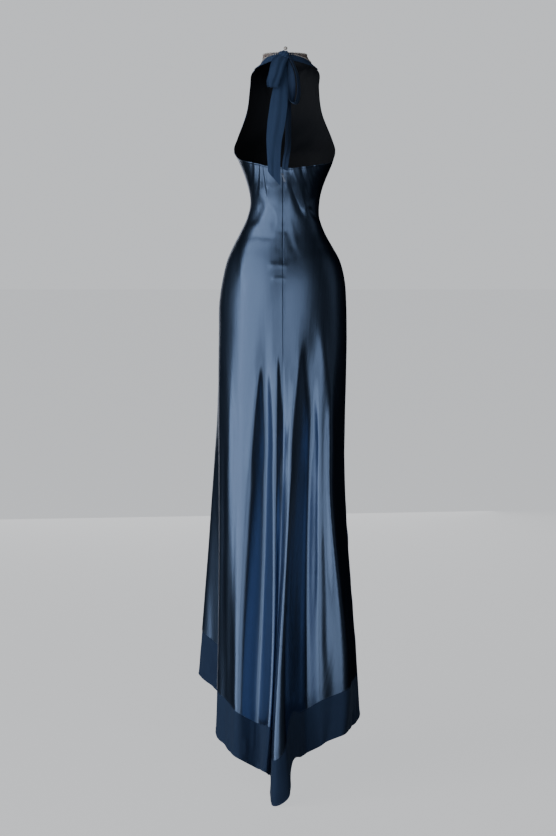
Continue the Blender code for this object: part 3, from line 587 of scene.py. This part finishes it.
relief = (0.0011 * gather * np.sin(u / 0.0045 + 1.5 * cloud(u, v, 0.05, 0.05, 11))
          + 0.0008 * (1 - hang) * cloud(u, v, 0.035, 0.06, 12)
          + hang * 0.0012 * cloud(u, v, 0.022, 0.30, 13))
# The seams are fine hollow lines.
relief -= side_seam(90 - np.abs(a - 180))
relief[waist] -= 0.0006
relief[waist:, centre] -= 0.0006
face = face + turn * relief[..., None]
for name, rows, columns, cut, area, above in (
        ("front_bodice", slice(waist + 1), slice(None), (0.44, 0.40), 0.100, "collar"),
        ("front_skirt_left", slice(waist, None), slice(centre + 1), (0.48, 1.17), 0.315, "front_bodice"),
        ("front_skirt_right", slice(waist, None), slice(centre, None), (0.41, 1.21), 0.296,
         "front_bodice")):
    # Its inner face is the near-black painted shade of the gown's inside.
    piece = shell("satin_" + name, face[rows, columns], turn[rows, columns], CLOTH, right_side, inner_side)
    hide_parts(name)
    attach(piece, "gown")
armhole = slice(len(halter) + 1)
stitched += [(face[armhole, column], turn[armhole, column]) for column in (2, -3)]
stitched += [(above_seam(face), turn[-1])]

# The hem band: matt crepe chiffon, doubled, seamed to the satin's lower edge in three lengths that
# meet at the side and centre back seams. It hangs in the skirt's folds and ripples at its edge.


def chiffon(name, deep, light):
    """Matt crepe chiffon: no lustre, a fine crinkled grain and slightly uneven dye."""
    made, shader, start = finish(name, 0.85, 0.0, Sheen_Weight=0.25, Sheen_Roughness=0.5,
                                 Specular_IOR_Level=0.25, Sheen_Tint=(0.45, 0.60, 0.90, 1))
    cloth_uv = start.node("ShaderNodeUVMap", {"uv_map": "cloth"})
    grain = start.node("ShaderNodeTexNoise", (), {"Vector": cloth_uv, "Scale": 1500.0, "Detail": 2.0})
    long = start.node("ShaderNodeMapping", (), {"Vector": cloth_uv, "Scale": (120.0, 14.0, 1.0)})
    streak = start.node("ShaderNodeTexNoise", (), {"Vector": long, "Scale": 1.0, "Detail": 2.0})
    patch = start.node("ShaderNodeTexNoise", (), {"Vector": cloth_uv, "Scale": 22.0, "Detail": 2.0})
    height = grain * 0.00006 + streak * 0.0004
    bump = start.node("ShaderNodeBump", (), {"Strength": 1.0, "Distance": 1.0, "Height": height})
    tone = patch * 0.5 + grain * 0.25 + streak * 0.25
    connect(shader, Base_Color=tone.between(deep, light), Roughness=grain * 0.10 + 0.80, Normal=bump)
    return made


hem_cloth = chiffon("chiffon", (0.029, 0.056, 0.130, 1), (0.045, 0.080, 0.170, 1))
# Creases of the band as seen from behind: line (x, z), height in mm and half width in mm.
BAND_CREASES = [
    ([(0.092, -1.655), (0.092, -1.710)], 3.0, 5.0),
    ([(0.072, -1.600), (0.074, -1.710)], 3.0, 5.0),
    ([(-0.172, -1.540), (-0.176, -1.640)], 4.0, 7.0),
]
ROLLED_ROWS = [0.979, 0.986, 0.991, 0.996, 1]
part = np.concatenate([np.linspace(0, 0.97, 32), ROLLED_ROWS])[:, None]
for name, start_at, end_at, count, creases, cut, area, above in (
        ("hem_back_left", 0, 90, 181, BAND_CREASES, (0.380, 0.118), 0.039, ["back_left"]),
        ("hem_back_right", -90, 0, 181, BAND_CREASES, (0.605, 0.118), 0.060, ["back_right"]),
        ("hem_front", 90, 270, 241, [], (0.930, 0.118), 0.101,
         ["front_skirt_left", "front_skirt_right"])):
    a = np.broadcast_to(np.linspace(start_at, end_at, count)[None], (part.size, count))
    z = hem_height(a) + BAND * (1 - part)
    face, turn = body(a, z), outward(a, z)
    u, v = lengths(face, 1), lengths(face, 0)
    ripple = cloud(u, v, 0.022, 0.20, 21) + 0.4 * cloud(u, v, 0.009, 0.10, 22)
    still = np.minimum(1, np.minimum(a - start_at, end_at - a) / 4)
    relief = -0.0006 + still * (0.0014 * part**1.5 * ripple + 0.0003 * cloud(u, v, 0.012, 0.03, 23))
    for line, height, width in creases:
        relief = relief + crease(face[..., 0], face[..., 2], line, height, width)
    # The lower edge is rolled by hand into a cord of about two millimetres.
    relief = relief + 0.0008 * np.exp(-((1 - part) * BAND / 0.0013 - 0.6)**2)
    face = face + turn * relief[..., None]
    piece = shell("chiffon_" + name, face, turn, CLOTH, hem_cloth, hem_cloth)
    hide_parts(name)
    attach(piece, "gown")

# The stitching: fine blue thread, in short machine stitches along the turned edges of the back and
# the armholes, and just above the seam of the hem band.

STITCH_STEP = 1.45     # from one stitch to the next, in lengths of a stitch
# the eight sides of a stitch, between its two ends (0 and 4) and the four points round its middle
STITCH_FACES = [(0, 2, 1), (0, 3, 2), (0, 5, 3), (0, 1, 5), (4, 1, 2), (4, 2, 3), (4, 3, 5), (4, 5, 1)]


def stitches(name, lines, length, thick, material):
    """Short stitches along lines on the cloth, each line being its points and the way outwards."""
    points, faces = [], []
    for path, out in lines:
        far = lengths(path, 0)
        count = int(far[-1] / (STITCH_STEP * length))
        at = (np.arange(count) + 0.5) / count * far[-1]
        middle, n = curve(far, path, at), curve(far, out, at)
        t = curve(far, path, at + 1e-4) - middle
        n, t = (w / np.linalg.norm(w, axis=1, keepdims=True) for w in (n, t))
        s = np.cross(t, n)
        six = (middle - t * length / 2, middle + s * thick, middle + n * thick, middle - s * thick,
               middle + t * length / 2, middle - n * thick / 2)
        base = len(points)
        points += np.stack(six, 1).reshape(-1, 3).tolist()
        faces += [tuple(base + 6 * i + k for k in f) for i in range(count) for f in STITCH_FACES]
    me = bpy.data.meshes.new(name)
    me.from_pydata(points, [], faces)
    me.materials.append(material)
    ob = bpy.data.objects.new(name, me)
    bpy.context.scene.collection.objects.link(ob)
    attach(ob, "gown")
    return ob


thread, shader, start = finish("thread", 0.55, 0.0, Sheen_Weight=0.3)
place = start.node("ShaderNodeTexCoord", (), (), out=3)
twist = start.node("ShaderNodeTexNoise", (), {"Vector": place, "Scale": 1800.0, "Detail": 2.0})
connect(shader, Base_Color=twist.between((0.050, 0.085, 0.160, 1), (0.110, 0.165, 0.280, 1)),
        Roughness=twist * 0.2 + 0.45)
stitches("edge_stitching", stitched, 0.0021, 0.00022, thread)

# The straps: strips of the same chiffon, folded and gathered lengthwise, from the front's upper
# corners round the neck to the bow's knot at the nape. One layer less than the band, so a little
# lighter in tone. Their inner face is the near-black satin inside, which is painted shade.
THIN = 0.0008
ribbon_cloth = chiffon("ribbon chiffon", (0.037, 0.075, 0.176, 1), (0.060, 0.109, 0.232, 1))
for name, sign, cut, area in (("strap_left", 1, (0.030, 0.115), 0.0025),
                              ("strap_right", -1, (0.030, 0.130), 0.0028)):
    part = np.linspace(0, 1, 29)[:, None]
    a = np.broadcast_to(np.linspace(0, CORNER, 121)[None], (29, 121))
    z = neck_edge(a) * (1 - part) + neck_edge(a, 2) * part
    face, turn = body(a * sign, z), outward(a * sign, z)
    u, v = lengths(face, 1), lengths(face, 0)
    relief = 0.0008 * np.sin(part * 22 + 0.9 * cloud(u, v, 0.03, 0.01, 31)) - 0.0004
    face = face + turn * relief[..., None]
    piece = shell("chiffon_" + name, face, turn, THIN, ribbon_cloth, inner_side)
    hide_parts(name)
    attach(piece, "gown")

# The collar: a band of cloth standing on the straps, covered with hand-sewn rows of small glass
# beads, with larger pearls along its upper edge.
COLLAR_TOP, COLLAR_END = 0.0015, 10.0
a = np.broadcast_to(np.linspace(COLLAR_END, 360 - COLLAR_END, 241)[None], (9, 241))
part = np.linspace(0, 1, 9)[:, None]
z = COLLAR_TOP * (1 - part) + neck_edge(a) * part
face, turn = body(a, z), outward(a, z)
# The band's inner face is the near-black painted shade of the inside.
piece = shell("collar_band", face - turn * 0.0004, turn, THIN, hem_cloth, inner_side)
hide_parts("collar")
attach(piece, "gown")


def beads(name, centres, radii, material, across=8, up=6):
    """Many round beads in one mesh."""
    ring = np.arange(across) / across * 2 * math.pi
    lat = (np.arange(1, up) / up - 0.5) * math.pi
    one = [(math.cos(f) * math.cos(g), math.cos(f) * math.sin(g), math.sin(f)) for f in lat for g in ring]
    one = np.array(one + [(0, 0, -1), (0, 0, 1)])
    low, high, faces = len(one) - 2, len(one) - 1, []
    for j in range(across):
        k = (j + 1) % across
        faces += [(low, k, j), (high, (up - 2) * across + j, (up - 2) * across + k)]
        faces += [(i * across + j, i * across + k, (i + 1) * across + k, (i + 1) * across + j)
                  for i in range(up - 2)]
    points = np.concatenate([c + one * r for c, r in zip(centres, radii)])
    every = [tuple(v + i * len(one) for v in f) for i in range(len(centres)) for f in faces]
    me = bpy.data.meshes.new(name)
    me.from_pydata(points.tolist(), [], every)
    me.materials.append(material)
    me.shade_smooth()
    ob = bpy.data.objects.new(name, me)
    bpy.context.scene.collection.objects.link(ob)
    return ob


def glass(name, deep, light, roughness, metallic, spot):
    """Bead glass or pearl: a smooth coated body whose tone differs from bead to bead."""
    made, shader, start = finish(name, roughness, metallic, Coat_Weight=0.6, Coat_Roughness=0.08)
    place = start.node("ShaderNodeTexCoord", (), (), out=3)
    tone = start.node("ShaderNodeTexNoise", (), {"Vector": place, "Scale": spot, "Detail": 1.0})
    fine = start.node("ShaderNodeTexNoise", (), {"Vector": place, "Scale": 2500.0, "Detail": 1.0})
    bump = start.node("ShaderNodeBump", (), {"Strength": 1.0, "Distance": 1.0, "Height": fine * 0.00004})
    sharp = start.node("ShaderNodeMapRange", (), {"Value": tone, "From Min": 0.35, "From Max": 0.65})
    connect(shader, Base_Color=sharp.between(deep, light), Roughness=fine * 0.1 + (roughness - 0.05),
            Normal=bump)
    return made


pearl = glass("pearl", (0.74, 0.70, 0.67, 1), (0.95, 0.93, 0.90, 1), 0.16, 0.0, 120.0)
small_glass = glass("bead glass", (0.46, 0.33, 0.29, 1), (0.86, 0.74, 0.69, 1), 0.20, 0.45, 420.0)
places, sizes, grand, grand_sizes = [], [], [], []
rng = np.random.default_rng(5)


def collar_row(start, height_at, spacing, smallest, largest, proud, where, radii, clear):
    """One sewn row of beads round the collar, left out where the band is too low for it."""
    walk = start
    while walk < 360 - start:
        drop = height_at(walk)
        p, n = body(walk, drop), outward(np.array(walk), np.array(drop))
        if drop > neck_edge(np.array([walk]))[0] + clear:
            where.append(p + n * proud)
            radii.append(rng.uniform(smallest, largest))
        walk += math.degrees(spacing / np.hypot(p[0], p[1])) * rng.uniform(0.96, 1.10)


BEAD_ROWS, FIRST_ROW, BEAD_PITCH = 12, 0.0032, 0.0029
for row in range(BEAD_ROWS):
    collar_row(COLLAR_END + 0.6, lambda walk: COLLAR_TOP - FIRST_ROW - BEAD_PITCH * row, BEAD_PITCH,
               0.00100, 0.00140, 0.0003, places, sizes, 0.0030)
# Pearls follow the collar's upper edge and, a little smaller, the strap's upper edge.
collar_row(COLLAR_END + 1.5, lambda walk: COLLAR_TOP - 0.0006, 0.0045,
           0.0016, 0.0021, 0.0006, grand, grand_sizes, 0.0)
collar_row(COLLAR_END + 2.5, lambda walk: neck_edge(np.array([walk]))[0] + 0.0012, 0.0047,
           0.0014, 0.0018, 0.0006, grand, grand_sizes, 0.0)
for name, where, radii, finish_of in (("collar_beads", places, sizes, small_glass),
                                      ("collar_pearls", grand, grand_sizes, pearl)):
    piece = beads(name, where, radii, finish_of)
    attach(piece, "gown")

# The bow at the nape: two hanging loops and two tails of soft chiffon ribbon, a gathered knot over
# them and one large pearl on top of the knot.

# each line: the middle of the ribbon (x, y, z), and from there to its edge (x, y, z)
LOOP_LEFT = [
    (0.0015, 0.0843, -0.0115, 0.0125, 0.0010, 0.0060),
    (0.0095, 0.0930, -0.0230, 0.0160, 0.0010, 0.0050),
    (0.0155, 0.1010, -0.0400, 0.0165, 0.0015, 0.0030),
    (0.0195, 0.1030, -0.0560, 0.0160, 0.0020, 0.0015),
    (0.0245, 0.1020, -0.0715, 0.0155, 0.0020, 0.0000),
    (0.0250, 0.0975, -0.0845, 0.0125, 0.0015, 0.0000),
    (0.0240, 0.0935, -0.0830, 0.0120, 0.0010, 0.0000),
    (0.0200, 0.0915, -0.0670, 0.0130, 0.0010, 0.0000),
    (0.0150, 0.0900, -0.0480, 0.0120, 0.0005, 0.0010),
    (0.0080, 0.0850, -0.0320, 0.0090, 0.0000, 0.0020),
    (0.0045, 0.0810, -0.0214, 0.0060, 0.0000, 0.0005),
]
LOOP_RIGHT = [
    (-0.0157, 0.0790, -0.0110, 0.0030, 0.0050, 0.0000),
    (-0.0235, 0.0890, -0.0260, 0.0031, 0.0075, 0.0000),
    (-0.0295, 0.0925, -0.0400, 0.0032, 0.0100, 0.0000),
    (-0.0345, 0.0950, -0.0560, 0.0034, 0.0125, 0.0000),
    (-0.0375, 0.0960, -0.0820, 0.0036, 0.0140, 0.0000),
    (-0.0365, 0.0965, -0.1080, 0.0040, 0.0140, 0.0000),
    (-0.0305, 0.0965, -0.1240, 0.0045, 0.0130, 0.0000),
    (-0.0225, 0.0965, -0.1200, 0.0060, 0.0120, 0.0000),
    (-0.0205, 0.0960, -0.1000, 0.0085, 0.0060, 0.0000),
    (-0.0203, 0.0950, -0.0740, 0.0090, 0.0000, 0.0000),
    (-0.0190, 0.0920, -0.0500, 0.0070, -0.0010, 0.0000),
    (-0.0130, 0.0810, -0.0195, 0.0026, 0.0020, 0.0000),
]
TAIL_LEFT = [
    (-0.0010, 0.0760, -0.0213, 0.0060, 0.0000, 0.0000),
    (0.0005, 0.0790, -0.0450, 0.0105, 0.0010, 0.0000),
    (0.0040, 0.0815, -0.0700, 0.0160, 0.0015, 0.0000),
    (0.0080, 0.0850, -0.1000, 0.0195, 0.0010, 0.0000),
    (0.0120, 0.0895, -0.1350, 0.0215, 0.0000, 0.0000),
    (0.0175, 0.0950, -0.1750, 0.0215, -0.0005, 0.0010),
    (0.0225, 0.1000, -0.2150, 0.0185, -0.0010, 0.0030),
    (0.0230, 0.1025, -0.2500, 0.0165, -0.0015, 0.0050),
    (0.0228, 0.0993, -0.2770, 0.0155, -0.0005, 0.0100),
    (0.0228, 0.0926, -0.3030, 0.0150, 0.0012, 0.0170),
]
TAIL_RIGHT = [
    (-0.0075, 0.0722, -0.0203, -0.0025, 0.0030, 0.0000),
    (-0.0120, 0.0700, -0.0500, -0.0005, 0.0070, 0.0000),
    (-0.0125, 0.0690, -0.0900, 0.0040, 0.0110, 0.0000),
    (-0.0125, 0.0745, -0.1400, 0.0060, 0.0120, 0.0000),
    (-0.0125, 0.0860, -0.1900, 0.0060, 0.0120, 0.0000),
    (-0.0105, 0.0965, -0.2350, 0.0070, 0.0060, 0.0000),
    (-0.0060, 0.1030, -0.2620, 0.0075, 0.0010, 0.0000),
    (-0.0040, 0.1025, -0.2830, 0.0070, -0.0010, 0.0030),
]


def ribbon(name, table, folds, seed):
    """A strip of cloth along a path, gathered lengthwise, more closely the more folds it has."""
    t = np.array(table)
    far = lengths(t[:, :3], 0)
    fine = curve(far, t, np.linspace(0, far[-1], 109))
    c, h = fine[:, None, :3], fine[:, None, 3:]
    n = np.cross(np.broadcast_to(h, c.shape), np.gradient(fine[:, :3], axis=0)[:, None])
    n /= np.linalg.norm(n, axis=-1, keepdims=True)
    s = np.linspace(-1, 1, 27)[None, :, None]
    mid = c + h * s + n * (1 - s * s) * 0.10 * np.linalg.norm(h, axis=-1, keepdims=True)
    m = np.cross(np.gradient(mid, axis=1), np.gradient(mid, axis=0))
    m /= np.linalg.norm(m, axis=-1, keepdims=True)
    u = np.broadcast_to(s[..., 0], mid.shape[:2])
    v = np.broadcast_to(np.linspace(0, 1, len(fine))[:, None], mid.shape[:2])
    wide = np.linalg.norm(h, axis=-1)
    relief = wide * (0.045 * np.sin(u * folds * 3 + 1.2 * cloud(u, v, 0.9, 0.18, seed))
                     + 0.05 * cloud(u, v, 0.5, 0.30, seed + 1))
    mid = mid + m * relief[..., None]
    # The right loop and tail take the deeper band chiffon instead of the ribbon chiffon: painted shade for
    # their side away from the lights.
    cloth = hem_cloth if name.endswith("right") else ribbon_cloth
    return shell(name, mid + m * THIN / 2, m, THIN, cloth, cloth)


for name, table, folds, seed, cut, area, held, on in (
        ("loop_left", LOOP_LEFT, 2.0, 41, (0.036, 0.173), 0.0047, "folded", ["knot"]),
        ("loop_right", LOOP_RIGHT, 1.5, 43, (0.032, 0.247), 0.0054, "folded", ["knot"]),
        ("tail_left", TAIL_LEFT, 1.6, 45, (0.047, 0.310), 0.0106, "hung", ["knot", "back_left"]),
        ("tail_right", TAIL_RIGHT, 1.5, 47, (0.030, 0.280), 0.0060, "hung", ["knot"])):
    piece = ribbon("bow_" + name, table, folds, seed)
    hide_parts(name)
    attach(piece, "gown")

KNOT_AT, KNOT_HALF, KNOT_SQUARENESS = (-0.0015, 0.0756, -0.0080), (0.0140, 0.0088, 0.0130), 2.6
BEAD_AT, BEAD_R = (-0.0057, 0.0756, 0.0097), 0.0047


def bent(v):
    """A sine or cosine bent so that it draws the knot's rounded box instead of a ball."""
    return np.sign(v) * np.abs(v)**(2 / KNOT_SQUARENESS)


lat = np.linspace(-math.pi / 2 + 0.02, math.pi / 2 - 0.02, 61)[:, None]
ring = np.linspace(0, 2 * math.pi, 97)[None]
unit = np.stack([bent(np.cos(lat)) * bent(np.cos(ring)), bent(np.cos(lat)) * bent(np.sin(ring)),
                 bent(np.sin(lat)) * np.ones_like(ring)], -1)
face = unit * np.array(KNOT_HALF) + np.array(KNOT_AT)
pleat = 0.0008 * np.sin(unit[..., 0] * 9 + 7.5 * unit[..., 2] + 0.8 * np.sin(unit[..., 2] * 3))
turn = unit / np.linalg.norm(unit, axis=-1, keepdims=True)
face = face + turn * (pleat - 0.0006)[..., None]
piece = shell("bow_knot", face, turn, THIN, ribbon_cloth, ribbon_cloth)
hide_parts("knot")
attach(piece, "gown")
piece = beads("bow_pearl", [np.array(BEAD_AT)], [BEAD_R], pearl, 32, 20)
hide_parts("knot_bead")
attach(piece, "gown")

# The zip: an invisible zip in the centre back seam, its woven tape sewn to the seam's inside, with
# a small blued metal slider and a drop-shaped pull at the top.
ZIP_TOP, ZIP_END, ZIP_HALF_WIDTH = -0.283, -0.600, 0.011
TAPE_DEPTH, TAPE_THICK, COIL_DEPTH = 0.0031, 0.0006, 0.0041
z = np.linspace(ZIP_TOP, ZIP_END, 81)[:, None]
deep = curve(SEC[:, 0], SEC[:, 3], z)
a = np.degrees(np.arcsin(np.linspace(-1, 1, 13)[None] * ZIP_HALF_WIDTH / deep))
z = np.broadcast_to(z, a.shape)
face, turn = body(a, z), outward(a, z)
tape_cloth = chiffon("zip tape", (0.030, 0.050, 0.090, 1), (0.045, 0.070, 0.120, 1))
piece = shell("zip_tape_woven", face - turn * TAPE_DEPTH, turn, TAPE_THICK, tape_cloth, tape_cloth)
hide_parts("zip_tape")
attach(piece, "gown")
# The coil of the zip: two rows of small nylon loops on the inside of the tape, one on each side of
# its middle column.
face, turn = face[2:-2], turn[2:-2]
coil = [(face[:, column] - turn[:, column] * COIL_DEPTH, turn[:, column]) for column in (5, 7)]
stitches("zip_coil", coil, 0.0012, 0.0006, thread)

zip_metal, shader, start = finish("zip metal", 0.28, 0.9, Coat_Weight=0.3)
place = start.node("ShaderNodeTexCoord", (), (), out=3)
worn = start.node("ShaderNodeTexNoise", (), {"Vector": place, "Scale": 900.0, "Detail": 3.0})
connect(shader, Base_Color=worn.between((0.10, 0.14, 0.22, 1), (0.24, 0.29, 0.40, 1)),
        Roughness=worn * 0.2 + 0.25)
for name in ("zip_slider", "zip_pull"):
    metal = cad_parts[name]
    metal.data.materials.clear()
    metal.data.materials.append(zip_metal)
